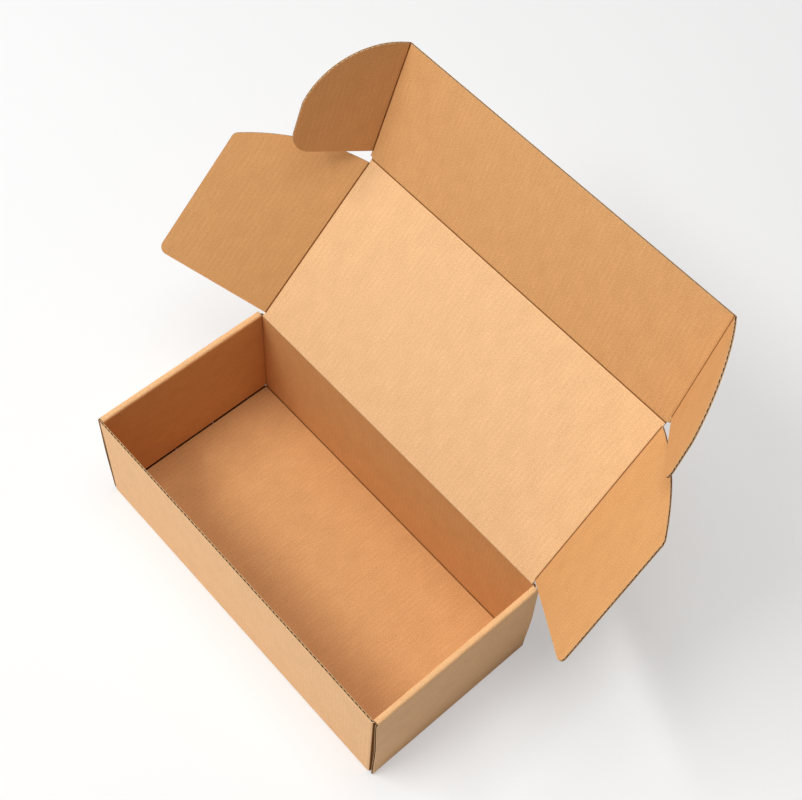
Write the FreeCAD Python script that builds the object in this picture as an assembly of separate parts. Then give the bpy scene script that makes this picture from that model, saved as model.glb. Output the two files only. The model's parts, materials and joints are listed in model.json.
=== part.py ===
import FreeCAD, Part
import math
import os

# A corrugated mailer box, folded from one die-cut sheet and standing open.
# Millimetres. X runs left to right, Y front to rear, Z up.
# The origin is the middle of the underside.

V = FreeCAD.Vector

# Tray, outside sizes
length = 260.0
depth = 128.0
height = 87.0

# Board and its folds
board = 1.4
fold_inside = 0.2  # inside radius of a right-angle fold
layer_gap = 0.1  # clearance between layers of board that lie on each other
crease_gap = 0.1  # clearance between a panel and the crease that it turns on
side_inset = 0.3  # how far a side wall's cut ends stop short of the front and rear faces

# Corner tabs of the front and rear walls, held between the layers of the side walls
tab_length = 34.0
tab_clearance = 0.5  # above and below a tab

# Locks of the inner side walls, in slots of the base
lock_length = 30.0
lock_spacing = 62.0  # between the middles of a side's two locks
lock_recess = 0.3  # how far a lock stops short of the underside
slot_end_gap = 0.5

# Lid, tuck flap and their side flaps
tuck_clearance = 0.6  # between the closed tuck flap and the front wall
lid_clearance = 0.2  # between a lid side flap folded down and the inner side wall
ear_clearance = 0.2  # between an ear and the lid side flap that it folds down beside
tuck_floor_clearance = 0.9  # between the closed tuck flap and the base

# Lid side flap: places along the hinge crease and distances out from it
wing_start = 2.6
wing_taper = 2.8  # how far the lower edge runs back towards the rear
wing_width = 79.0
wing_corner = 5.5
wing_outer_end = 86.0
wing_nick = (91.8, 76.5)
wing_bulge = (109.0, 47.0)
wing_end_gap = 3.0  # between the top of the flap's crease and the tuck flap's crease

# Ear: places along its crease and distances out from it
ear_start = 5.6
ear_width = 57.8
ear_corner = 14.0
ear_outer_end = 41.0
ear_bulge = (68.5, 43.0)

# Folds as the box stands, in degrees
lid_slope = 43.7  # the lid above level, leaning back
tuck_fold = 26.5
left_wing_fold = 37.0
right_wing_fold = 46.8
left_ear_fold = 70.0
right_ear_fold = 58.0

# Sizes that follow from the ones above
fold_outside = fold_inside + board
side_thickness = 3 * board + 2 * layer_gap
half_length = length / 2
half_depth = depth / 2
side_inner_face = half_length - side_thickness
tab_outer_face = half_length - board - layer_gap
end_wall_half = tab_outer_face - fold_outside
roll_half = half_depth - fold_outside - layer_gap
hinge_y = half_depth - board / 2
hinge_z = height - board / 2
crease_reach = board / 2 + crease_gap
lid_half = side_inner_face - lid_clearance - board / 2
lid_depth = 2 * half_depth - 2 * board - tuck_clearance
tuck_half = lid_half + board + ear_clearance
tuck_depth = hinge_z - board - tuck_floor_clearance


def block(x0, x1, y0, y1, z0, z1):
    return Part.makeBox(x1 - x0, y1 - y0, z1 - z0, V(x0, y0, z0))


def on_axis(axis, across, up, along):
    """A point from its two places across an axis and its place along it."""
    places = {
        "x": (along, across, up),
        "y": (across, along, up),
        "z": (across, up, along),
    }
    return V(*places[axis])


def fold(axis, centre, quarter, start, end):
    """A right-angle fold of the board about an axis, in one quarter of the plane."""

    def point(radius, angle):
        across = centre[0] + quarter[0] * radius * math.cos(math.radians(angle))
        up = centre[1] + quarter[1] * radius * math.sin(math.radians(angle))
        return on_axis(axis, across, up, start)

    def arc(radius):
        return Part.Arc(point(radius, 0), point(radius, 45), point(radius, 90)).toShape()

    edges = [
        arc(fold_inside),
        Part.makeLine(point(fold_inside, 90), point(fold_outside, 90)),
        arc(fold_outside),
        Part.makeLine(point(fold_outside, 0), point(fold_inside, 0)),
    ]
    face = Part.Face(Part.Wire(Part.__sortEdges__(edges)))
    return face.extrude(on_axis(axis, 0, 0, end - start))


def mirrored(side, x0, x1, y0, y1, z0, z1):
    """A block given for the right side, on either side."""
    low, high = sorted((side * x0, side * x1))
    return block(low, high, y0, y1, z0, z1)


def base():
    """The floor of the tray, with slots for the locks of the inner side walls."""
    half_x = half_length - fold_outside
    half_y = half_depth - fold_outside
    floor = block(-half_x, half_x, -half_y, half_y, 0, board)
    for side in (-1, 1):
        for y in (-lock_spacing / 2, lock_spacing / 2):
            reach = lock_length / 2 + slot_end_gap
            inner = side_inner_face - layer_gap
            outer = side_inner_face + board + layer_gap
            floor = floor.cut(mirrored(side, inner, outer, y - reach, y + reach, 0, board))
    return floor


def side_wall(side):
    """Outer wall, rolled top, inner wall and locks of one end of the tray."""
    half_y = half_depth - side_inset
    outer_fold = side * (half_length - fold_outside)
    inner_fold = side * (side_inner_face + fold_outside)
    top_fold = height - fold_outside
    inner_face = side_inner_face
    seat = board + layer_gap
    pieces = [
        fold("y", (outer_fold, fold_outside), (side, -1), -half_y, half_y),
        mirrored(side, half_length - board, half_length, -half_y, half_y, fold_outside, top_fold),
        fold("y", (outer_fold, top_fold), (side, 1), -roll_half, roll_half),
        mirrored(side, side * inner_fold, side * outer_fold,
                 -roll_half, roll_half, height - board, height),
        fold("y", (inner_fold, top_fold), (-side, 1), -roll_half, roll_half),
        mirrored(side, inner_face, inner_face + board, -roll_half, roll_half, seat, top_fold),
    ]
    for y in (-lock_spacing / 2, lock_spacing / 2):
        reach = lock_length / 2
        pieces.append(mirrored(side, inner_face, inner_face + board,
                               y - reach, y + reach, lock_recess, seat))
    return pieces


def end_wall(end, top):
    """Front (-1) or rear (1) wall, its rounded corners and its two corner tabs."""
    near = end * half_depth
    far = end * (half_depth - board)
    low_y, high_y = sorted((near, far))
    bend_y = end * (half_depth - fold_outside)
    tab_y, tab_end = sorted((bend_y, bend_y - end * tab_length))
    tab_low = fold_outside + tab_clearance
    tab_high = height - board - tab_clearance
    pieces = [
        fold("x", (bend_y, fold_outside), (end, -1), -end_wall_half, end_wall_half),
        block(-end_wall_half, end_wall_half, low_y, high_y, fold_outside, top),
    ]
    for side in (-1, 1):
        corner = (side * end_wall_half, bend_y)
        pieces.append(fold("z", corner, (side, end), tab_low, top))
        pieces.append(mirrored(side, tab_outer_face - board, tab_outer_face,
                               tab_y, tab_end, tab_low, tab_high))
    return pieces


def nose(start, end):
    """The rounded edge of the board along a crease."""
    return Part.makeCylinder(board / 2, start.distanceToPoint(end), start, end - start)


def tray():
    hinge_line = nose(V(-end_wall_half, hinge_y, hinge_z), V(end_wall_half, hinge_y, hinge_z))
    pieces = end_wall(-1, height) + end_wall(1, hinge_z) + [hinge_line]
    for side in (-1, 1):
        pieces += side_wall(side)
    return base().fuse(pieces).removeSplitter()


def slab(x0, x1, s0, s1):
    """A flat panel: x across, s out from its crease, the board's middle at zero."""
    return block(x0, x1, s0, s1, -board / 2, board / 2)


def lid_panel():
    """The lid lying flat, with its hinge crease on the X axis."""
    panel = slab(-lid_half, lid_half, crease_reach, lid_depth)
    edges = [nose(V(-lid_half, lid_depth, 0), V(lid_half, lid_depth, 0))]
    for side in (-1, 1):
        edges.append(nose(V(side * lid_half, crease_reach, 0), V(side * lid_half, lid_depth, 0)))
    return panel.fuse(edges).removeSplitter()


def tuck_panel():
    """The tuck flap lying flat, with its crease on the X axis."""
    panel = slab(-tuck_half, tuck_half, crease_reach, tuck_depth)
    edges = []
    for side in (-1, 1):
        edges.append(nose(V(side * tuck_half, crease_reach, 0), V(side * tuck_half, tuck_depth, 0)))
    return panel.fuse(edges).removeSplitter()


def corner_arc(start, corner, end):
    """A rounded corner that leaves one edge at start and joins the next at end."""
    reach = math.sqrt(0.5)
    middle = corner + (start - corner + end - corner) * (1 - reach)
    return Part.Arc(start, middle, end).toShape()


def sheet(edges):
    """A flat flap of board from the edges of its outline, drawn at the board's middle."""
    face = Part.Face(Part.Wire(Part.__sortEdges__(edges)))
    face.translate(V(0, 0, -board / 2))
    return face.extrude(V(0, 0, board))


def wing_sheet():
    """A lid side flap lying flat: its crease on the Y axis, the flap towards +X."""
    wing_end = lid_depth - wing_end_gap
    root = V(crease_reach, wing_start, 0)
    tip = V(wing_width, wing_start - wing_taper, 0)
    along = (tip - root).normalize()
    tip_start = tip - along * wing_corner
    tip_end = tip + V(0, wing_corner, 0)
    outer_end = V(wing_width, wing_outer_end, 0)
    nick = V(wing_nick[1], wing_nick[0], 0)
    bulge = V(wing_bulge[1], wing_bulge[0], 0)
    top = V(crease_reach, wing_end, 0)
    return sheet([
        Part.makeLine(root, tip_start),
        corner_arc(tip_start, tip, tip_end),
        Part.makeLine(tip_end, outer_end),
        corner_arc(outer_end, V(wing_width, wing_nick[0], 0), nick),
        Part.Arc(nick, bulge, top).toShape(),
        Part.makeLine(top, root),
    ])


def ear_sheet():
    """An ear of the tuck flap lying flat: its crease on the Y axis, the ear towards +X."""
    root = V(crease_reach, ear_start, 0)
    corner_in = V(ear_width - ear_corner, ear_start, 0)
    corner = V(ear_width, ear_start, 0)
    corner_out = V(ear_width, ear_start + ear_corner, 0)
    outer_end = V(ear_width, ear_outer_end, 0)
    bulge = V(ear_bulge[1], ear_bulge[0], 0)
    top = V(crease_reach, tuck_depth, 0)
    return sheet([
        Part.makeLine(root, corner_in),
        corner_arc(corner_in, corner, corner_out),
        Part.makeLine(corner_out, outer_end),
        Part.Arc(outer_end, bulge, top).toShape(),
        Part.makeLine(top, root),
    ])


def placed(angle, at):
    """Turn about the X axis, then move."""
    return FreeCAD.Placement(at, FreeCAD.Rotation(V(1, 0, 0), angle))


def side_flap(shape, side, half_width, angle):
    """A flap folded up towards the inner face, on the right (1) or left (-1) crease."""
    flap = shape.copy()
    if side < 0:
        flap = flap.mirror(V(0, 0, 0), V(1, 0, 0))
    flap.rotate(V(0, 0, 0), V(0, 1, 0), -side * angle)
    flap.translate(V(side * half_width, 0, 0))
    return flap


def moved(shape, placement):
    return shape.transformed(placement.toMatrix(), True)


def export(name, shape):
    solids = shape.Solids
    if len(solids) != 1 or not shape.isValid():
        raise ValueError(f"{name}: {len(solids)} solids, valid {shape.isValid()}")
    solids[0].exportStep(f"parts/{name}.step")
    print(name, "volume", round(solids[0].Volume), "mm3")


os.makedirs("parts", exist_ok=True)

lid_place = placed(lid_slope, V(0, hinge_y, hinge_z))
tuck_place = lid_place.multiply(placed(tuck_fold, V(0, lid_depth, 0)))

nodes = {
    "tray": tray(),
    "lid": moved(lid_panel(), lid_place),
    "tuck_flap": moved(tuck_panel(), tuck_place),
    "left_lid_flap": moved(side_flap(wing_sheet(), -1, lid_half, left_wing_fold), lid_place),
    "right_lid_flap": moved(side_flap(wing_sheet(), 1, lid_half, right_wing_fold), lid_place),
    "left_ear": moved(side_flap(ear_sheet(), -1, tuck_half, left_ear_fold), tuck_place),
    "right_ear": moved(side_flap(ear_sheet(), 1, tuck_half, right_ear_fold), tuck_place),
}

for name, shape in nodes.items():
    export(name, shape)
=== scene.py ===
import bmesh
import bpy
import json
import math
from mathutils import Matrix, Vector


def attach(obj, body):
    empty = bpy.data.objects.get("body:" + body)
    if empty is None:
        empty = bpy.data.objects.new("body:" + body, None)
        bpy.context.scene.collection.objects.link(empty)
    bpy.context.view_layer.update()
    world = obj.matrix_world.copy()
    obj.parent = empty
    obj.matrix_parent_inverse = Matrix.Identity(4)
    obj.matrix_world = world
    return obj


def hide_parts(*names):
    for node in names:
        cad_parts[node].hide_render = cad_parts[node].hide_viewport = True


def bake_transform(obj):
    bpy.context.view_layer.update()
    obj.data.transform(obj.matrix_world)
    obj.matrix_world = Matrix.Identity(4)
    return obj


# An open mailer box folded from one sheet of corrugated board.
# Sizes here are millimetres, as in the model of the part, and become metres in the meshes.

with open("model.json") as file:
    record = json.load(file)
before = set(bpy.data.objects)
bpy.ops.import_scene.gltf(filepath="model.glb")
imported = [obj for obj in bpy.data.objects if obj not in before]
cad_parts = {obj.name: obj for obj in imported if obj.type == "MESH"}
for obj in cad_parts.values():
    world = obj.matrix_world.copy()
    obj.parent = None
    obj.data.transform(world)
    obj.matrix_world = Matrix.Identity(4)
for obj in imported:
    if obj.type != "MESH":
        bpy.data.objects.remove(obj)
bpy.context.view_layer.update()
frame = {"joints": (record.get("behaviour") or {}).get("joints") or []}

MM = 0.001
X = Vector((1, 0, 0))
Y = Vector((0, 1, 0))
Z = Vector((0, 0, 1))

# Board: two liners with a wavy medium between them
board = 1.4
half = board / 2
liner = 0.26
medium = 0.2
layer_gap = 0.01  # between the core and the liners
hollow = 2.0  # how far the dark core, painted shade of the hollows between the liners, stops short of a cut edge
lip = 0.1  # how far the medium stops short of it
side_lip = 0.7  # the same at the ends of the outer side walls

# Flutes along a cut edge
pitch = 3.3
wave_steps = 8  # steps to one flute
wave_gain = 2.2
wave_drop = 1.1  # keeps the medium longer at its low level than at its high one
wander = 0.6  # how unevenly the flutes follow each other
wander_rate = 0.11
flank_set_back = 0.12  # as a share of the way to the dark core
flank_least = 0.02

# Creases and folds
crease = 1.6  # half the width of a strip that bends at a crease
crease_clear = 0.3  # a flap's round edges keep this far from a strip
groove = 0.42  # depth of a crease's groove in the inner liner
groove_half = 0.75
groove_shoulder = 1.2
shade_line_half = 0.5  # half the width of the line of painted shade along a scored crease
highlight_line_half = 0.25  # half the width of the line of painted highlight where the crease isn't scored
bend_share = 0.7  # the part of a strip that bends
settling_steps = 60
fold_inside = 0.2
fold_middle = fold_inside + half
fold_outside = fold_inside + board
fold_steps = 6
edge_run = 0.8  # the short stretch at each end of a long flat one
long_run = 12 * edge_run
score_run = 0.5  # flat board between the floor of the box and the folds at its sides
bow_steps = 14
bow = 0.9  # how far an outer side wall swells at half its height

# Meshes
smooth_below_deg = 32
sheet_scale = 0.01  # from the unfolded sheet to its UV map
no_length = 1e-6  # a stretch no longer than this counts as none
no_turn = 1e-3  # edges that turn less than this count as straight

# Tray
half_length = 130.0
half_depth = 64.0
height = 87.0
side_half = 63.2  # of the outer side walls
roll_half = 62.1  # of the rolled tops and inner side walls
end_half = 125.9  # of the front and rear walls, as far as their round corners
inner_middle = 126.3
inner_foot = 3.0
shaded = 0.7  # the part of a round corner that lies in the gap behind the side wall, where its outer face is painted dark as shade
tab_middle = end_half + fold_middle
tab_low = 2.1
tab_high = 85.1
tab_length = 34.0
lock_middle = 31.0
lock_half = 15.0
lock_play = 0.5
lock_foot = 0.3
slot_half = lock_half + lock_play
slot_inner = 125.1
slot_outer = 127.1

# Lid, tuck flap and side flaps
lid_half = 124.7
lid_depth = 124.6
tuck_half = 126.3
tuck_depth = 84.0
flap_root = 0.8  # where the flaps' outlines leave their crease
wing_start = 2.6
wing_end = 121.6
wing_reach = 79.0
wing_flare = 2.8  # how much nearer to the hinge its tip lies than its start
wing_rounding = 5.5
wing_shoulder = 86.0
wing_nick = (76.5, 91.8)
wing_crown = (47.0, 109.0)
ear_start = 5.6
ear_reach = 57.8
ear_rounding = 14.0
ear_shoulder = 41.0
ear_crown = (43.0, 68.5)
wing_corner_steps = 8
ear_corner_steps = 12
crown_steps = 28

# Places of the creases and folds as the box stands, from the joints of the part
joints = {joint["name"]: joint for joint in frame["joints"]}


def rest_fold(name):
    """How far a fold is bent as the box stands: at its joint's lower end it lies flat."""
    return math.radians(-joints[name]["range_deg"][0])


lid_slope = rest_fold("lid_fold")
tuck_slope = lid_slope + rest_fold("tuck_fold")
hinge = Vector(joints["lid_fold"]["pos_m"]) / MM
tuck_hinge = Vector(joints["tuck_fold"]["pos_m"]) / MM

# Places of the materials in each piece's list, which is made under Materials
KRAFT, PALE_SHEEN, OUTER, EDGE_AND_HIGHLIGHT, FLUTE_SHADE, CORE_SHADE, PAINTED_SHADE = range(7)


class Sheet:
    """Gathers the faces of one piece and their places on the unfolded sheet."""

    def __init__(self):
        self.mesh = bmesh.new()
        self.uv = self.mesh.loops.layers.uv.new("sheet")
        self.known = {}
        self.part = 0

    def begin(self):
        """Start a closed shell that shares no corner with the ones before it."""
        self.part += 1

    def corner(self, point):
        """The mesh's corner at a point, made once for each shell."""
        key = (self.part, round(point.x, 4), round(point.y, 4), round(point.z, 4))
        if key not in self.known:
            self.known[key] = self.mesh.verts.new(point * MM)
        return self.known[key]

    def face(self, points, places, material):
        """One face, with the places of its corners on the unfolded sheet."""
        corners = [self.corner(point) for point in points]
        face = self.mesh.faces.new(corners)
        face.material_index = material
        face.smooth = True
        for loop, place in zip(face.loops, places):
            loop[self.uv].uv = (place[0] * sheet_scale, place[1] * sheet_scale)

    def sweep(self, rings, places, materials, cap):
        """A closed shell through sections that all have the same number of corners."""
        self.begin()
        count = len(rings[0])
        for i in range(len(rings) - 1):
            for j in range(count):
                k = (j + 1) % count
                self.face([rings[i][j], rings[i + 1][j], rings[i + 1][k], rings[i][k]],
                          [places[i][j], places[i + 1][j], places[i + 1][k], places[i][k]],
                          materials(i, j))
        self.face(rings[0], places[0], cap)
        self.face(rings[-1], places[-1], cap)

    def slab(self, space, outline, low, high, top, bottom, rim):
        """A flat layer of the board with any outline."""
        self.begin()
        for level, material in ((low, bottom), (high, top)):
            self.face([space(a, b, level) for a, b in outline], outline, material)
        for i in range(len(outline)):
            (a, b), (c, d) = outline[i], outline[(i + 1) % len(outline)]
            self.face([space(a, b, low), space(c, d, low), space(c, d, high), space(a, b, high)],
                      [(a, b), (c, d), (c, d), (a, b)], rim)

    def flutes(self, space, outer, inner):
        """The wavy medium along a cut edge, between an outer and an inner line, and under it the
        flanks of the flutes, in darker paper that paints the shade inside them."""
        spans = [math.dist(outer[i], outer[i + 1]) for i in range(len(outer) - 1)]
        total = sum(spans)
        count = max(2, round(total / pitch * wave_steps))
        swing = half - liner - medium / 2
        foot = liner - half + layer_gap
        waves = ([], [])
        flanks = ([], [])
        index = 0
        passed = 0.0
        for step in range(count + 1):
            run = total * step / count
            while index < len(spans) - 1 and run > passed + spans[index]:
                passed += spans[index]
                index += 1
            share = min(1.0, max(0.0, (run - passed) / max(spans[index], no_length)))
            near = mixed(outer[index], outer[index + 1], share)
            far = mixed(inner[index], inner[index + 1], share)
            set_back = mixed(near, far, flank_set_back)
            phase = 2 * math.pi * run / pitch + wander * math.sin(run * wander_rate)
            level = swing * max(-1.0, min(1.0, wave_gain * math.sin(phase) - wave_drop))
            below = max(foot + flank_least, level)
            for rings, section in (
                    (waves, [(near, level - medium / 2), (near, level + medium / 2),
                             (far, level + medium / 2), (far, level - medium / 2)]),
                    (flanks, [(set_back, foot), (set_back, below), (far, below), (far, foot)])):
                rings[0].append([space(place[0], place[1], n) for place, n in section])
                rings[1].append([place for place, n in section])
        self.sweep(*waves, lambda i, j: CORE_SHADE if j else EDGE_AND_HIGHLIGHT, CORE_SHADE)
        # the flanks' faces towards the edge carry painted shade of the flutes' hollows
        self.sweep(*flanks, lambda i, j: CORE_SHADE if j else FLUTE_SHADE, CORE_SHADE)

    def made(self, name):
        """The finished object, with its materials."""
        bmesh.ops.recalc_face_normals(self.mesh, faces=self.mesh.faces)
        data = bpy.data.meshes.new(name)
        self.mesh.to_mesh(data)
        self.mesh.free()
        data.set_sharp_from_angle(angle=math.radians(smooth_below_deg))
        for material in materials:
            data.materials.append(material)
        piece = bpy.data.objects.new(name, data)
        bpy.context.scene.collection.objects.link(piece)
        return piece


def mixed(p, q, share):
    """The place that lies a share of the way from p to q."""
    return (p[0] + (q[0] - p[0]) * share, p[1] + (q[1] - p[1]) * share)


def plane(origin, across, along, inner):
    """Where a flat panel's places across, along and through the board lie."""
    return lambda a, b, n: origin + across * a + along * b + inner * n


# Flat panels with any outline

def inset(outline, depths):
    """The outline with each of its edges moved inwards by a depth of its own."""
    count = len(outline)
    lines = []
    for i in range(count):
        p = Vector(outline[i])
        along = (Vector(outline[(i + 1) % count]) - p).normalized()
        lines.append((p + Vector((-along.y, along.x)) * depths[i], along))
    result = []
    for i in range(count):
        p, d = lines[i - 1]
        q, e = lines[i]
        turn = d.x * e.y - d.y * e.x
        if abs(turn) < no_turn:
            result.append(tuple(q))
        else:
            gap = q - p
            result.append(tuple(p + d * ((gap.x * e.y - gap.y * e.x) / turn)))
    return result


def panel(sheet, space, outline, cuts, face=KRAFT):
    """A flat panel; cuts says of each edge of the outline whether it is a cut one."""
    inner = half - liner
    sheet.slab(space, outline, inner, half, face, CORE_SHADE, EDGE_AND_HIGHLIGHT)
    sheet.slab(space, outline, -half, -inner, CORE_SHADE, OUTER, EDGE_AND_HIGHLIGHT)
    near = inset(outline, [lip if cut else 0 for cut in cuts])
    far = inset(outline, [hollow if cut else 0 for cut in cuts])
    # the core between the liners is near-black paper, painted shade of the board's hollows
    sheet.slab(space, far, -inner + layer_gap, inner - layer_gap, CORE_SHADE, CORE_SHADE, CORE_SHADE)
    count = len(outline)
    first = next((i for i in range(count) if cuts[i] and not cuts[i - 1]), None)
    if first is None:
        return
    run = [first]
    while cuts[(run[-1] + 1) % count] and len(run) < count:
        run.append((run[-1] + 1) % count)
    ends = run + [(run[-1] + 1) % count]
    sheet.flutes(space, [near[i] for i in ends], [far[i] for i in ends])


def arc(start, through, end, count):
    """Points of the arc through three points, without the first one."""
    ax, ay = start
    bx, by = through
    cx, cy = end
    d = 2 * (ax * (by - cy) + bx * (cy - ay) + cx * (ay - by))
    a2, b2, c2 = ax * ax + ay * ay, bx * bx + by * by, cx * cx + cy * cy
    ox = (a2 * (by - cy) + b2 * (cy - ay) + c2 * (ay - by)) / d
    oy = (a2 * (cx - bx) + b2 * (ax - cx) + c2 * (bx - ax)) / d
    radius = math.dist((ox, oy), start)
    first = math.atan2(ay - oy, ax - ox)
    last = math.atan2(cy - oy, cx - ox)
    while last < first:
        last += 2 * math.pi
    return [(ox + radius * math.cos(first + (last - first) * i / count),
             oy + radius * math.sin(first + (last - first) * i / count))
            for i in range(1, count + 1)]


def corner_arc(start, corner, end, count):
    """The arc that rounds a corner, from a point before it to one after it."""
    diagonal = math.sqrt(0.5)
    middle = tuple(corner[i] + (start[i] - corner[i] + end[i] - corner[i]) * (1 - diagonal)
                   for i in range(2))
    return arc(start, middle, end, count)


def from_crease(points):
    """An outline that starts and ends at its crease, cut back to the crease's strip."""
    def at_strip(p, q):
        return mixed(p, q, (crease - p[0]) / (q[0] - p[0]))

    first = at_strip(points[0], points[1])
    kept = [p for p in points[1:-1] if p[0] > crease + crease_clear]
    return [first] + kept + [at_strip(kept[-1], points[-1])]


def wing_outline():
    """A side flap of the lid: out from its crease first, along it second."""
    root = (flap_root, wing_start)
    tip = (wing_reach, wing_start - wing_flare)
    size = math.dist(root, tip)
    before = tuple(tip[i] - (tip[i] - root[i]) / size * wing_rounding for i in range(2))
    after = (wing_reach, tip[1] + wing_rounding)
    shoulder = (wing_reach, wing_shoulder)
    points = [root, before] + corner_arc(before, tip, after, wing_corner_steps) + [shoulder]
    points += corner_arc(shoulder, (wing_reach, wing_nick[1]), wing_nick, wing_corner_steps)
    points += arc(wing_nick, wing_crown, (flap_root, wing_end), crown_steps)
    return from_crease(points)


def ear_outline():
    """An ear of the tuck flap: out from its crease first, along it second."""
    before = (ear_reach - ear_rounding, ear_start)
    after = (ear_reach, ear_start + ear_rounding)
    shoulder = (ear_reach, ear_shoulder)
    points = [(flap_root, ear_start), before]
    points += corner_arc(before, (ear_reach, ear_start), after, ear_corner_steps)
    points += [shoulder]
    points += arc(shoulder, ear_crown, (flap_root, tuck_depth), crown_steps)
    return from_crease(points)


# Bands that run round folds

class Path:
    """A line across the sheet that goes straight or round right-angle folds."""

    def __init__(self, point, heading):
        self.point = Vector(point)
        self.heading = Vector(heading)
        self.stops = [(0.0, self.point.copy(), self.left())]

    def left(self):
        return Vector((-self.heading.y, self.heading.x))

    def stop(self, run):
        self.stops.append((self.stops[-1][0] + run, self.point.copy(), self.left()))

    def straight(self, run):
        """A flat stretch, with a short one at each end so that its shading stays flat."""
        parts = [run]
        if run > long_run:
            parts = [edge_run, run - 2 * edge_run, edge_run]
        for part in parts:
            self.point = self.point + self.heading * part
            self.stop(part)
        return self

    def turn_left(self, steps=fold_steps):
        centre = self.point + self.left() * fold_middle
        arm = -self.left() * fold_middle
        heading = self.heading
        for i in range(1, steps + 1):
            angle = math.pi / 2 * i / steps
            c, s = math.cos(angle), math.sin(angle)
            self.point = centre + Vector((arm.x * c - arm.y * s, arm.x * s + arm.y * c))
            self.heading = Vector((heading.x * c - heading.y * s, heading.x * s + heading.y * c))
            self.stop(fold_middle * math.pi / 2 / steps)
        return self

    def at(self, a, n):
        """The point at a run along the path, n to the left of it."""
        stops = self.stops
        i = 0
        while i < len(stops) - 2 and a > stops[i + 1][0]:
            i += 1
        share = (a - stops[i][0]) / (stops[i + 1][0] - stops[i][0])
        point = stops[i][1].lerp(stops[i + 1][1], share)
        side = stops[i][2].lerp(stops[i + 1][2], share).normalized()
        return point + side * n

    def places(self):
        return [stop[0] for stop in self.stops]


def band(sheet, space, stations, low, high, cuts=(False, False, False, False), across=False,
         inner_material=KRAFT, outer_material=OUTER, groove_at=None, edge_lip=lip):
    """Board that follows a path: a runs along the path and b across it.
    cuts are the path's start and end, and the low and the high edge. A face's
    material is a place in the list or a function of a."""
    inner = half - liner
    dip = groove_at or (lambda a: 0.0)

    def uv(a, b):
        return (b, a) if across else (a, b)

    def layer(places, low_b, high_b, n0, n1, side_materials, cap, dipped):
        rings = []
        spots = []
        for a in places:
            drop = dip(a) if dipped else 0.0
            rings.append([space(a, low_b, n0 - drop), space(a, low_b, n1 - drop),
                          space(a, high_b, n1 - drop), space(a, high_b, n0 - drop)])
            spots.append([uv(a, low_b), uv(a, low_b), uv(a, high_b), uv(a, high_b)])
        sheet.sweep(rings, spots, side_materials, cap)

    def skin(material, i):
        middle = (stations[i] + stations[i + 1]) / 2
        return material(middle) if callable(material) else material

    def inner_side(i, j):
        return skin(inner_material, i) if j == 1 else CORE_SHADE if j == 3 else EDGE_AND_HIGHLIGHT

    def outer_side(i, j):
        return skin(outer_material, i) if j == 3 else CORE_SHADE if j == 1 else EDGE_AND_HIGHLIGHT

    layer(stations, low, high, inner, half, inner_side, EDGE_AND_HIGHLIGHT, True)
    layer(stations, low, high, -half, -inner, outer_side, EDGE_AND_HIGHLIGHT, False)
    first, last = stations[0], stations[-1]
    a0 = first + (hollow if cuts[0] else 0)
    a1 = last - (hollow if cuts[1] else 0)
    b0 = low + (hollow if cuts[2] else 0)
    b1 = high - (hollow if cuts[3] else 0)
    kept = [a0] + [a for a in stations if a0 < a < a1] + [a1]
    deepest = max(dip(a) for a in stations)
    # the core is near-black paper, painted shade of the board's hollows
    layer(kept, b0, b1, -inner + layer_gap, inner - deepest - layer_gap,
          lambda i, j: CORE_SHADE, CORE_SHADE, False)
    if cuts[0]:
        sheet.flutes(space, [(first + edge_lip, low), (first + edge_lip, high)],
                     [(a0, low), (a0, high)])
    if cuts[1]:
        sheet.flutes(space, [(last - edge_lip, low), (last - edge_lip, high)],
                     [(a1, low), (a1, high)])
    if cuts[2]:
        sheet.flutes(space, [(first, low + edge_lip), (last, low + edge_lip)],
                     [(first, b0), (last, b0)])
    if cuts[3]:
        sheet.flutes(space, [(first, high - edge_lip), (last, high - edge_lip)],
                     [(first, b1), (last, b1)])


def tray():
    """Floor, walls, rolled side tops and inner side walls, all of one folded sheet."""
    sheet = Sheet()
    base_panel(sheet)
    for side in (-1, 1):
        side_panels(sheet, side)
    for end in (-1, 1):
        end_panels(sheet, end)
    return sheet.made("tray_board")


def base_panel(sheet):
    """The floor, in cells that leave out the slots of the locks. Its top is painted dark as shade
    from the slots outwards, where the inner side walls stand over it."""
    edge_x = half_length - fold_outside
    edge_y = half_depth - fold_outside - score_run
    xs = [-edge_x, -slot_outer, -slot_inner, slot_inner, slot_outer, edge_x]
    ys = [-edge_y, -lock_middle - slot_half, -lock_middle + slot_half,
          lock_middle - slot_half, lock_middle + slot_half, edge_y]
    slot_cells = (1, 3)  # across and along
    middle_cell = 2

    def solid(i, j):
        inside = 0 <= i < len(xs) - 1 and 0 <= j < len(ys) - 1
        return inside and not (i in slot_cells and j in slot_cells)

    def layer(low, high, top, bottom, rim):
        sheet.begin()
        for i in range(len(xs) - 1):
            for j in range(len(ys) - 1):
                if not solid(i, j):
                    continue
                x0, x1, y0, y1 = xs[i], xs[i + 1], ys[j], ys[j + 1]
                spots = [(x0, y0), (x1, y0), (x1, y1), (x0, y1)]
                # cells outside the middle one are painted dark on top, as shade under the inner
                # walls
                upper = CORE_SHADE if top == KRAFT and i != middle_cell else top
                for z, material in ((low, bottom), (high, upper)):
                    sheet.face([Vector((x, y, z)) for x, y in spots], spots, material)
                for k, (di, dj) in enumerate(((0, -1), (1, 0), (0, 1), (-1, 0))):
                    if solid(i + di, j + dj):
                        continue
                    p, q = spots[k], spots[(k + 1) % 4]
                    sheet.face([Vector((*p, low)), Vector((*q, low)),
                                Vector((*q, high)), Vector((*p, high))], [p, q, q, p], rim)

    layer(0.0, liner, CORE_SHADE, OUTER, EDGE_AND_HIGHLIGHT)
    layer(board - liner, board, KRAFT, CORE_SHADE, EDGE_AND_HIGHLIGHT)
    layer(liner + layer_gap, board - liner - layer_gap, CORE_SHADE, CORE_SHADE, CORE_SHADE)


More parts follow.
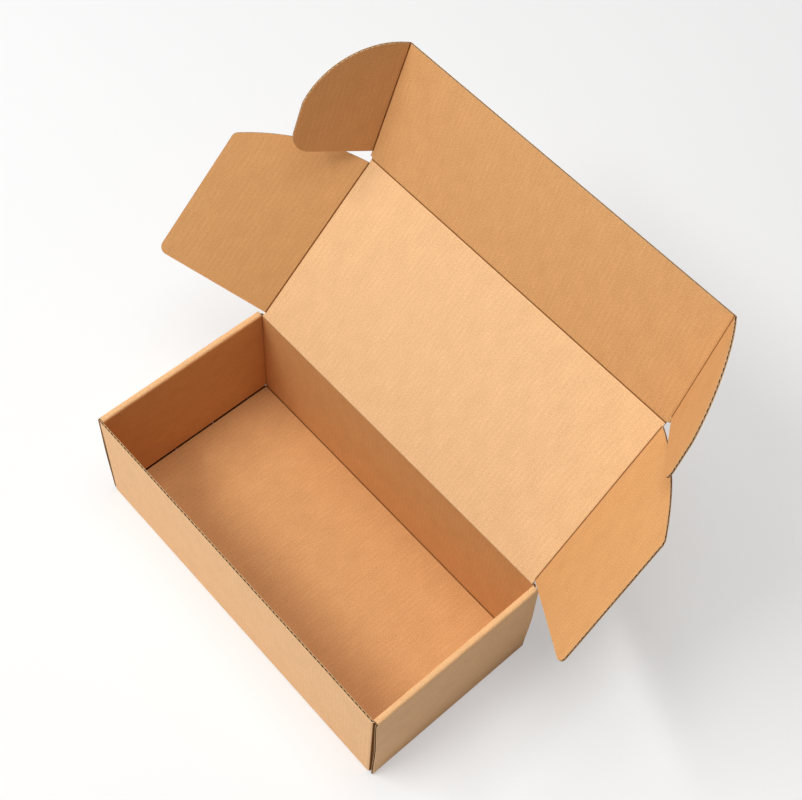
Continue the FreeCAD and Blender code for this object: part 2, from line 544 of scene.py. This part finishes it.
def side_panels(sheet, side):
    """Outer wall, rolled top, inner wall and locks of one end of the tray."""
    edge_x = half_length - fold_outside

    def space_on(path, swell=0.0):
        """A path drawn in the box's length and height, with b along its depth."""
        def space(a, b, n):
            point = path.at(a, n)
            up = min(1.0, max(0.0, (point.y - fold_outside) / rise))
            return Vector((side * (point.x + swell * math.sin(math.pi * up) ** 2), b, point.y))
        return space

    rise = height - 2 * fold_outside
    wall = Path((edge_x, half), (1, 0)).turn_left()
    for _ in range(bow_steps):
        wall.straight(rise / bow_steps)
    # the outer wall's inner face, hidden in the gap behind the inner wall, is painted dark as
    # shade
    band(sheet, space_on(wall, bow), wall.places(), -side_half, side_half,
         cuts=(False, False, True, True), inner_material=PAINTED_SHADE, edge_lip=side_lip)
    top = half_length - half
    roll = Path((top, height - fold_outside), (0, 1)).turn_left()
    roll.straight(edge_x - inner_middle - fold_middle).turn_left()
    roll.straight(height - fold_outside - inner_foot)
    rolled = roll.places()[-3]  # just below the second fold, where the inner wall begins
    # the roll's inner face, hidden in the gap over the outer wall, is painted dark as shade
    band(sheet, space_on(roll), roll.places(), -roll_half, roll_half,
         cuts=(False, True, True, True), inner_material=PAINTED_SHADE,
         # the inner wall's face is the sheet's outer liner, but it takes the darker inner-liner
         # paper as painted shade
         outer_material=lambda a: OUTER if a < rolled else KRAFT)
    for y in (-lock_middle, lock_middle):
        lock = Path((inner_middle, inner_foot), (0, -1)).straight(inner_foot - lock_foot)
        # the locks are painted dark all over, as the shade in the slots
        band(sheet, space_on(lock), lock.places(), y - lock_half, y + lock_half,
             inner_material=CORE_SHADE, outer_material=CORE_SHADE)


def end_panels(sheet, end):
    """Front (-1) or rear (1) wall, the fold at its foot, its corners and its tabs."""
    bend_y = half_depth - fold_outside
    wall_top = height if end < 0 else hinge.z - crease

    def standing(path):
        """A path drawn on the floor, with b its height."""
        def space(a, b, n):
            point = path.at(a, n)
            return Vector((point.x, -end * point.y, b))
        return space

    def lying(path):
        """A path drawn in the box's depth and height, with b along its length."""
        def space(a, b, n):
            point = path.at(a, n)
            return Vector((b, end * point.x, point.y))
        return space

    wall = Path((-tab_middle, -bend_y), (0, -1)).turn_left().straight(2 * end_half).turn_left()
    total = wall.places()[-1]
    # the round corners' outer faces in the gap behind the side walls are painted dark as shade
    band(sheet, standing(wall), wall.places(), tab_low, wall_top,
         cuts=(False, False, False, end < 0),
         outer_material=lambda a: OUTER if shaded < a < total - shaded else PAINTED_SHADE)
    if end > 0:
        stops = wall.places()
        corner_stops = fold_steps + 2
        for run in (stops[:corner_stops], stops[-corner_stops:]):
            band(sheet, standing(wall), run, wall_top, hinge.z)
    foot = Path((bend_y - score_run, half), (1, 0)).straight(score_run).turn_left()
    foot.straight(tab_low - fold_outside)
    # the inside of the fold at the wall's foot is painted dark, as shade in the crease
    band(sheet, lying(foot), foot.places(), -end_half, end_half, across=True,
         inner_material=PAINTED_SHADE)
    for side in (-1, 1):
        tab = Path((side * tab_middle, -bend_y + tab_length), (0, -1)).straight(tab_length)
        # the tabs' outer faces, in the gap against the side walls, are painted dark as shade
        band(sheet, standing(tab), tab.places(), tab_low, tab_high,
             cuts=(True, False, True, True), outer_material=PAINTED_SHADE)


# Planes of the flaps as the box stands

lid_along = Vector((0, math.cos(lid_slope), math.sin(lid_slope)))
lid_inner = Vector((0, -math.sin(lid_slope), math.cos(lid_slope)))
tuck_along = Vector((0, math.cos(tuck_slope), math.sin(tuck_slope)))
tuck_inner = Vector((0, -math.sin(tuck_slope), math.cos(tuck_slope)))


def flap_plane(origin, side, along, inner, half_width, angle):
    """A side flap turned up by an angle on the right (1) or left (-1) crease."""
    out = X * side
    return plane(origin + out * half_width,
                 out * math.cos(angle) + inner * math.sin(angle), along,
                 inner * math.cos(angle) - out * math.sin(angle))


def lid():
    """The lid, with room at its ends for the crease strips of the side flaps."""
    sheet = Sheet()
    wide, narrow = lid_half, lid_half - crease
    right = [(wide, crease), (wide, wing_start), (narrow, wing_start), (narrow, wing_end),
             (wide, wing_end), (wide, lid_depth - crease)]
    outline = right + [(-a, b) for a, b in reversed(right)]
    # the lid's inner face takes a paler copy of the inner kraft: a painted sheen
    panel(sheet, plane(hinge, X, lid_along, lid_inner), outline, [False] * len(outline),
          PALE_SHEEN)
    return sheet.made("lid_board")


def tuck_flap():
    """The tuck flap, with room for the crease strips of its ears. Flutes show only
    along its free edge."""
    sheet = Sheet()
    wide, narrow = tuck_half, tuck_half - crease
    right = [(wide, crease), (wide, ear_start), (narrow, ear_start), (narrow, tuck_depth)]
    outline = right + [(-a, b) for a, b in reversed(right)]
    cuts = [False] * len(outline)
    cuts[len(right) - 1] = True  # the free edge, from the right half to the left one
    panel(sheet, plane(tuck_hinge, X, tuck_along, tuck_inner), outline, cuts)
    return sheet.made("tuck_flap_board")


def side_flap(name, space, outline):
    """A flap that is cut all round but for its crease."""
    sheet = Sheet()
    cuts = [True] * (len(outline) - 1) + [False]
    panel(sheet, space, outline, cuts)
    return sheet.made(name + "_board")


# Strips that bend at the creases

strip_side = [highlight_line_half, shade_line_half, groove_half, groove_shoulder, crease]
strip_stations = [-s for s in reversed(strip_side)] + [0.0] + strip_side
reach = bend_share * crease


def bent(s, n, angle):
    """Where a place on the flat strip lies once the strip is bent by an angle."""
    start = Vector((-reach, 0))
    run = Vector((math.cos(angle), math.sin(angle))) * reach - start
    share = min(1.0, max(0.0, (s + reach) / (2 * reach)))
    for _ in range(settling_steps):
        turn = angle * share * share * (3 - 2 * share)
        point = Vector((s * math.cos(turn) - n * math.sin(turn),
                        s * math.sin(turn) + n * math.cos(turn)))
        found = (point - start).dot(run) / run.length_squared
        share = 0.5 * share + 0.5 * min(1.0, max(0.0, found))
    return point


# By default the parent's half is the lid's, in its paler paper with painted sheen.
def strip(name, origin, out, inner, along, angle, low, high, across, scored,
          faces=(PALE_SHEEN, KRAFT)):
    """A crease between two panels: angle is the fold towards the inner face, and
    faces are the inner liner's materials on the parent's and the child's half."""
    sheet = Sheet()

    def space(s, b, n):
        point = bent(s, n, angle)
        return origin + out * point.x + inner * point.y + along * b

    def dip(s):
        return groove * max(0.0, 1 - abs(s) / groove_half) if scored else 0.0

    def tone(s):
        # a scored crease gets a line of painted shade, the unscored one a line of painted
        # highlight in the cut-edge paper
        if abs(s) < (shade_line_half if scored else highlight_line_half):
            return PAINTED_SHADE if scored else EDGE_AND_HIGHLIGHT
        return faces[0] if s < 0 else faces[1]

    band(sheet, space, strip_stations, low, high, across=across, inner_material=tone,
         groove_at=dip)
    piece = sheet.made(name + "_crease")
    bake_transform(piece)


# Materials

class Paint:
    """One material, and short ways to add nodes to it."""

    def __init__(self, name, roughness, shine):
        self.material = bpy.data.materials.new(name)
        self.material.use_nodes = True
        self.nodes = self.material.node_tree.nodes
        self.links = self.material.node_tree.links
        self.shader = self.nodes["Principled BSDF"]
        self.shader.inputs["Roughness"].default_value = roughness
        self.shader.inputs["Specular IOR Level"].default_value = shine

    def result(self, operation, first, second):
        """A maths node of two values, each a number or the output of a node."""
        node = self.nodes.new("ShaderNodeMath")
        node.operation = operation
        for socket, value in zip(node.inputs, (first, second)):
            if isinstance(value, (int, float)):
                socket.default_value = value
            else:
                self.links.new(value, socket)
        return node.outputs[0]

    def total(self, start, parts):
        """A start value with outputs added to it, each by its own weight."""
        for value, weight in parts:
            start = self.result("ADD", start, self.result("MULTIPLY", value, weight))
        return start

    def noise(self, place, scale, stretch, detail):
        """Noise about zero, stretched along the sheet's two directions."""
        mapping = self.nodes.new("ShaderNodeMapping")
        mapping.inputs["Scale"].default_value = (*stretch, 1)
        self.links.new(place, mapping.inputs["Vector"])
        node = self.nodes.new("ShaderNodeTexNoise")
        node.inputs["Scale"].default_value = scale
        node.inputs["Detail"].default_value = detail
        self.links.new(mapping.outputs["Vector"], node.inputs["Vector"])
        return self.result("SUBTRACT", node.outputs["Fac"], 0.5)


# How strongly each part of the paper's pattern shows
rib_drift = 6.0
rib_unevenness = 3.0
rib_evenness = 0.8
fleck_level = 0.2
fleck_darkness = 5.0
cloud_tone = 0.45
middle_tone = 0.5
rib_relief = 0.3
streak_relief = 0.8
grain_relief = 0.5
relief_height = 0.00004


def kraft_material(name, dark, light, roughness, ribs=0.0, streaks=0.0, grain=1.0, shine=0.0):
    """Board paper: uneven ribs over the flutes, streaks along them, grain, clouds and flecks."""
    paint = Paint(name, roughness, shine)
    spot = paint.nodes.new("ShaderNodeUVMap")
    spot.uv_map = "sheet"
    place = spot.outputs["UV"]
    split = paint.nodes.new("ShaderNodeSeparateXYZ")
    paint.links.new(place, split.inputs["Vector"])

    fine = paint.noise(place, scale=170, stretch=(1, 0.8), detail=2)
    streak = paint.noise(place, scale=75, stretch=(1, 0.14), detail=3)
    cloud = paint.noise(place, scale=9, stretch=(1, 0.7), detail=3)
    fleck = paint.noise(place, scale=120, stretch=(1, 1.5), detail=1)
    speck = paint.result("MAXIMUM", paint.result("SUBTRACT", fleck, fleck_level), 0.0)

    turns = paint.result("MULTIPLY", split.outputs["X"], 2 * math.pi / (pitch * sheet_scale))
    wave = paint.result("SINE", paint.total(turns, [(cloud, rib_drift)]), 0.0)
    uneven = paint.result("MULTIPLY", cloud, rib_unevenness)
    wave = paint.result("MULTIPLY", wave, paint.result("ADD", uneven, rib_evenness))

    tone = paint.total(middle_tone, [(fine, grain), (streak, streaks), (cloud, cloud_tone),
                                     (wave, ribs), (speck, -fleck_darkness)])
    ramp = paint.nodes.new("ShaderNodeValToRGB")
    ramp.color_ramp.elements[0].color = (*dark, 1)
    ramp.color_ramp.elements[1].color = (*light, 1)
    paint.links.new(tone, ramp.inputs["Fac"])
    paint.links.new(ramp.outputs["Color"], paint.shader.inputs["Base Color"])

    relief = paint.total(0.0, [(wave, rib_relief), (streak, streak_relief), (fine, grain_relief)])
    bump = paint.nodes.new("ShaderNodeBump")
    bump.inputs["Strength"].default_value = 1.0
    bump.inputs["Distance"].default_value = relief_height
    paint.links.new(relief, bump.inputs["Height"])
    paint.links.new(bump.outputs["Normal"], paint.shader.inputs["Normal"])
    return paint.material


# In the order of their places above, with the darkest and the lightest tone of each paper
liner_look = {"roughness": 0.6, "ribs": 0.05, "streaks": 0.45, "grain": 2.3, "shine": 0.4}
materials = [
    kraft_material("kraft_inner_liner", dark=(0.55, 0.265, 0.09), light=(0.77, 0.405, 0.16),
                   **liner_look),
    # painted sheen: a paler copy of the inner kraft for the lid's inner face
    kraft_material("kraft_lid_liner_painted_sheen", dark=(0.635, 0.355, 0.158), light=(0.87, 0.53, 0.264),
                   **liner_look),
    kraft_material("kraft_outer_liner", dark=(0.69, 0.375, 0.16), light=(0.93, 0.55, 0.26),
                   **liner_look),
    # the paper of the cut edges, also used as a painted highlight along the lid's unscored crease
    kraft_material("cut_edge_and_painted_highlight", dark=(0.66, 0.40, 0.20), light=(0.86, 0.58, 0.34),
                   roughness=0.8),
    # painted shade: darker paper for the flanks inside the flutes' hollows
    kraft_material("painted_flute_shade", dark=(0.42, 0.21, 0.085), light=(0.58, 0.31, 0.13),
                   roughness=0.8),
    # painted shade: near-black paper for the board's hollows, the locks and the floor under the
    # inner walls
    kraft_material("shaded_core", dark=(0.05, 0.018, 0.005), light=(0.08, 0.03, 0.009),
                   roughness=0.95),
    # painted shade: dark paper for crease lines and for faces hidden in the gaps between walls
    kraft_material("painted_crease_and_gap_shade", dark=(0.20, 0.08, 0.026), light=(0.30, 0.13, 0.045),
                   roughness=0.8),
]

# Pieces

bodies = {
    "tray": tray(),
    "lid": lid(),
    "tuck_flap": tuck_flap(),
}
for side, word in ((-1, "left"), (1, "right")):
    wing = flap_plane(hinge, side, lid_along, lid_inner, lid_half,
                      rest_fold(word + "_lid_flap_fold"))
    ear = flap_plane(tuck_hinge, side, tuck_along, tuck_inner, tuck_half,
                     rest_fold(word + "_ear_fold"))
    bodies[word + "_lid_flap"] = side_flap(word + "_lid_flap", wing, wing_outline())
    bodies[word + "_ear"] = side_flap(word + "_ear", ear, ear_outline())
for body, piece in bodies.items():
    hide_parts(body)
    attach(piece, body)

# the lid's crease: its lid half carries the painted sheen, and as it isn't scored, its middle
# carries a line of painted highlight
strip("lid", hinge, Z, -Y, X, -(math.pi / 2 - lid_slope),
      -lid_half, lid_half, across=True, scored=False, faces=(KRAFT, PALE_SHEEN))
strip("tuck", tuck_hinge, lid_along, lid_inner, X,
      rest_fold("tuck_fold"), -lid_half, lid_half, across=True, scored=True)
for side, word in ((-1, "left"), (1, "right")):
    strip(word + "_lid_flap", hinge + X * side * lid_half, X * side,
          lid_inner, lid_along, rest_fold(word + "_lid_flap_fold"), wing_start, wing_end,
          across=False, scored=True)
    strip(word + "_ear", tuck_hinge + X * side * tuck_half,
          X * side, tuck_inner, tuck_along, rest_fold(word + "_ear_fold"), ear_start,
          tuck_depth, across=False, scored=True, faces=(KRAFT, KRAFT))

# Floor, in metres

floor_half = 3.0
floor_drop = 0.0001
floor_grey = 0.89
floor_white = 0.97
white_share = 0.38  # how much of what the camera sees of the floor is plain white


def floor_material():
    """White paper, part of which is plain white to the camera and to nothing else."""
    paint = Paint("floor_paint", roughness=0.9, shine=0.1)
    paint.shader.inputs["Base Color"].default_value = (floor_grey, floor_grey, floor_grey, 1)
    seen = paint.nodes.new("ShaderNodeLightPath")
    share = paint.result("MULTIPLY", seen.outputs["Is Camera Ray"], white_share)
    white = paint.nodes.new("ShaderNodeEmission")
    white.inputs["Strength"].default_value = floor_white
    blend = paint.nodes.new("ShaderNodeMixShader")
    paint.links.new(share, blend.inputs[0])
    paint.links.new(paint.shader.outputs[0], blend.inputs[1])
    paint.links.new(white.outputs[0], blend.inputs[2])
    paint.links.new(blend.outputs[0], paint.nodes["Material Output"].inputs["Surface"])
    return paint.material


def ground():
    """The white surface that the box stands on."""
    corners = [(-floor_half, -floor_half), (floor_half, -floor_half),
               (floor_half, floor_half), (-floor_half, floor_half)]
    mesh = bpy.data.meshes.new("floor")
    mesh.from_pydata([(x, y, -floor_drop) for x, y in corners], [], [(0, 1, 2, 3)])
    mesh.materials.append(floor_material())
    floor = bpy.data.objects.new("floor", mesh)
    bpy.context.scene.collection.objects.link(floor)


ground()

# Light: distances in metres, power in watts

world_strength = 0.17
light_target = Vector((0, 0.06, 0.08))
light_distance = 2.2


def room_light():
    """Faint even light from all round."""
    world = bpy.data.worlds.new("studio")
    world.use_nodes = True
    background = world.node_tree.nodes["Background"]
    background.inputs["Color"].default_value = (1, 1, 1, 1)
    background.inputs["Strength"].default_value = world_strength
    bpy.context.scene.world = world


def soft_light(name, direction, size, power):
    """A soft area light that looks at the box from a direction; size is its width and height."""
    light = bpy.data.lights.new(name, "AREA")
    light.shape = "RECTANGLE"
    light.size, light.size_y = size
    light.energy = power
    lamp = bpy.data.objects.new(name, light)
    away = Vector(direction).normalized()
    lamp.location = light_target + away * light_distance
    lamp.rotation_euler = away.to_track_quat("Z", "Y").to_euler()
    bpy.context.scene.collection.objects.link(lamp)


room_light()
soft_light("key", direction=(-0.36, -0.58, 1.0), size=(1.4, 0.2), power=27.0)
soft_light("overhead", direction=(0.0, 0.0, 1.0), size=(1.3, 1.3), power=20.5)
soft_light("low_front", direction=(-0.42, -1.0, 0.5), size=(1.3, 1.3), power=6.5)
soft_light("left", direction=(-1.0, -0.1, 0.35), size=(1.3, 1.3), power=5.5)

# Camera, fitted to the photo: angles in degrees, lens and picture centre in the photo's pixels

camera_azimuth = 42.80
camera_elevation = 58.73
camera_roll = 5.93
camera_place = Vector((316.92, -258.94, 864.36))
photo_width = 802
photo_height = 800
focal_pixels = 1460.09
centre_column = 416.77
centre_row = 416.54
sensor_width = 36


def photo_camera():
    """The photo's own view of the box."""
    azimuth, elevation, roll = (math.radians(angle) for angle in
                                (camera_azimuth, camera_elevation, camera_roll))
    back = Vector((math.sin(azimuth) * math.cos(elevation),
                   -math.cos(azimuth) * math.cos(elevation), math.sin(elevation)))
    level = Vector((math.cos(azimuth), math.sin(azimuth), 0))
    upright = back.cross(level)
    across = level * math.cos(roll) + upright * math.sin(roll)
    up = upright * math.cos(roll) - level * math.sin(roll)
    data = bpy.data.cameras.new("camera")
    data.sensor_width = sensor_width
    data.lens = focal_pixels / photo_width * sensor_width
    data.shift_x = (photo_width / 2 - centre_column) / photo_width
    data.shift_y = (centre_row - photo_height / 2) / photo_width
    camera = bpy.data.objects.new("camera", data)
    place = camera_place * MM
    camera.matrix_world = Matrix((
        (across.x, up.x, back.x, place.x),
        (across.y, up.y, back.y, place.y),
        (across.z, up.z, back.z, place.z),
        (0, 0, 0, 1),
    ))
    bpy.context.scene.collection.objects.link(camera)
    bpy.context.scene.camera = camera


photo_camera()
bpy.context.scene.view_settings.view_transform = "Standard"
